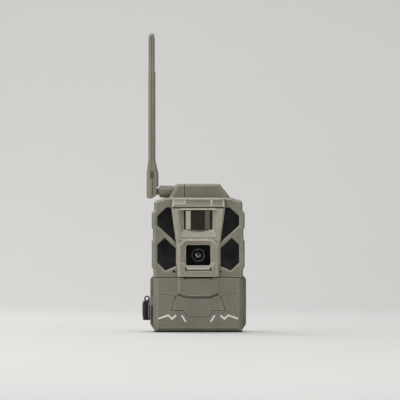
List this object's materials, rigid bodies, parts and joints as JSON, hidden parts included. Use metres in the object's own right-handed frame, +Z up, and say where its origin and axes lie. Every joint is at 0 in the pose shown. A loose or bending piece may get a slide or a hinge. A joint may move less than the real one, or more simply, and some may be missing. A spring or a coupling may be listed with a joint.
{
  "type": "trail camera",
  "caption": "Weatherproof cellular trail camera with hinged battery door, side latch, folding paddle antenna, dark lamp windows and rear strap loops.",
  "frame": {"origin": "centre of the flat bottom face that the camera stands on", "axes": "+Z up along the antenna, -Y the way the lens looks, +X towards the door hinge"},
  "size_m": [0.1098, 0.0799, 0.3158],
  "materials": {
    "shell": "fine moulded texture, grey olive",
    "antenna_shell": "satin moulded, grey olive",
    "black_gloss": "polished, infrared black",
    "lens_window": "polished black window",
    "detector_lens": "polished dark brown",
    "black_plastic": "satin black",
    "inner_plastic": "moulded black",
    "lens_glass": "coated glass",
    "rubber": "matt",
    "circuit_board": "solder mask",
    "steel": "plated",
    "brass": "machined",
    "cell_wrap": "printed wrap over metal can",
    "card_plastic": "moulded"
  },
  "bodies": {
    "root": {"rear_case": "shell", "front_shell": "shell", "antenna_housing": "shell", "top_pod": "shell", "visor": "shell", "centre_bezel": "shell", "lens_bezel": "shell", "ir_window_upper_left": "black_gloss", "ir_window_upper_right": "black_gloss", "ir_window_lower_left": "black_gloss", "ir_window_lower_right": "black_gloss", "light_sensor": "black_gloss", "lens_window": "lens_window", "pir_lens": "detector_lens", "latch_bracket": "black_plastic", "dc_jack": "black_plastic", "lens_barrel": "black_plastic", "battery_tray": "inner_plastic", "control_panel": "inner_plastic", "lens_holder": "inner_plastic", "lens_element": "lens_glass", "main_gasket": "rubber", "door_gasket": "rubber", "tray_pull_tab": "rubber", "antenna_coax": "rubber", "led_board_left": "circuit_board", "led_board_right": "circuit_board", "main_board": "circuit_board", "sensor_board": "circuit_board", "io_board": "circuit_board", "board_screw_1": "steel", "board_screw_2": "steel", "case_screw_1": "steel", "case_screw_2": "steel", "case_screw_3": "steel", "case_screw_4": "steel", "hinge_pin": "steel", "latch_pin": "steel", "radio_module": "steel", "card_socket": "steel", "contact_plate": "steel", "pir_sensor": "steel", "filter_solenoid": "steel", "tripod_insert": "brass", "antenna_jack": "brass", "battery_cells": "cell_wrap"},
    "door": {"door": "shell", "door_keeper": "steel"},
    "latch_lever": {"latch_lever": "black_plastic"},
    "latch_link": {"latch_link": "black_plastic"},
    "antenna_nut": {"antenna_nut": "antenna_shell"},
    "antenna_swivel": {"antenna_knuckle": "antenna_shell"},
    "antenna": {"antenna_blade": "antenna_shell", "antenna_pin": "steel"},
    "plug_cover": {"dc_plug_cover": "rubber"},
    "filter": {"ir_cut_filter": "lens_glass"},
    "power_switch": {"power_switch": "black_plastic"},
    "test_button": {"test_button": "rubber"},
    "setup_button": {"setup_button": "rubber"},
    "card": {"sd_card": "card_plastic"}
  },
  "joints": [
    {"name": "door_hinge", "type": "hinge", "parent": "root", "child": "door", "pos_m": [0.0485, -0.016, 0.0322], "axis": [0, 0, 1], "range_deg": [0, 115]},
    {"name": "latch_lever_pivot", "type": "hinge", "parent": "root", "child": "latch_lever", "pos_m": [-0.0545, -0.004, 0.023], "axis": [0, 0, 1], "range_deg": [0, 110]},
    {"name": "latch_link_pivot", "type": "hinge", "parent": "latch_lever", "child": "latch_link", "pos_m": [-0.057, 0.003, 0.023], "axis": [0, 0, 1], "range_deg": [-110, 0]},
    {"name": "antenna_nut_spin", "type": "hinge", "parent": "root", "child": "antenna_nut", "pos_m": [-0.034, 0.002, 0.1482], "axis": [1, 0, 0], "continuous": true},
    {"name": "antenna_swivel", "type": "hinge", "parent": "root", "child": "antenna_swivel", "pos_m": [-0.0413, 0.002, 0.1482], "axis": [1, 0, 0], "range_deg": [-90, 90]},
    {"name": "antenna_tilt", "type": "hinge", "parent": "antenna_swivel", "child": "antenna", "pos_m": [-0.0495, 0.002, 0.1482], "axis": [0, -1, 0], "range_deg": [0, 90]},
    {"name": "plug_cover_hinge", "type": "hinge", "parent": "root", "child": "plug_cover", "pos_m": [0.0501, 0.0212, 0.02], "axis": [0, 0, 1], "range_deg": [0, 100]},
    {"name": "filter_slide", "type": "slide", "parent": "root", "child": "filter", "axis": [1, 0, 0], "range_m": [-0.0055, 0]},
    {"name": "power_switch_slide", "type": "slide", "parent": "root", "child": "power_switch", "axis": [0, 0, 1], "range_m": [-0.0023, 0.0023]},
    {"name": "test_button_press", "type": "slide", "parent": "root", "child": "test_button", "axis": [0, 1, 0], "range_m": [0, 0.0008], "stiffness_N_per_m": 800},
    {"name": "setup_button_press", "type": "slide", "parent": "root", "child": "setup_button", "axis": [0, 1, 0], "range_m": [0, 0.0008], "stiffness_N_per_m": 800},
    {"name": "card_slide", "type": "slide", "parent": "root", "child": "card", "axis": [0, -1, 0], "range_m": [-0.0006, 0.004]}
  ],
  "couplings": [
    {"joint": "latch_link_pivot", "follows": "latch_lever_pivot", "ratio": -1}
  ]
}
